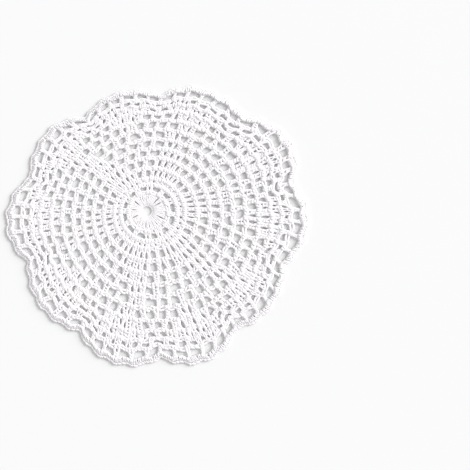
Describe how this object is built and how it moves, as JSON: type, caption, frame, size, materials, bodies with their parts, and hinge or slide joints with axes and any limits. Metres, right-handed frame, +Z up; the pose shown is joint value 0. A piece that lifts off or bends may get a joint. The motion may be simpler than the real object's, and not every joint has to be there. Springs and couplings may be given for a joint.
{
  "type": "lace doily",
  "caption": "Round white cotton doily, crocheted from the middle out: solid rounds, a pinwheel of wedges in open mesh, fans, large loops and a dense scalloped edge.",
  "frame": {"origin": "middle of the outline's box, on the underside that lies on the table", "axes": "+Z up out of the cloth's face, +Y the far side as seen from the front, +X the right"},
  "size_m": [0.2072, 0.191, 0.0025],
  "materials": {
    "cotton": "matt white cotton thread"
  },
  "bodies": {
    "root": {"doily": "cotton"}
  },
  "joints": []
}
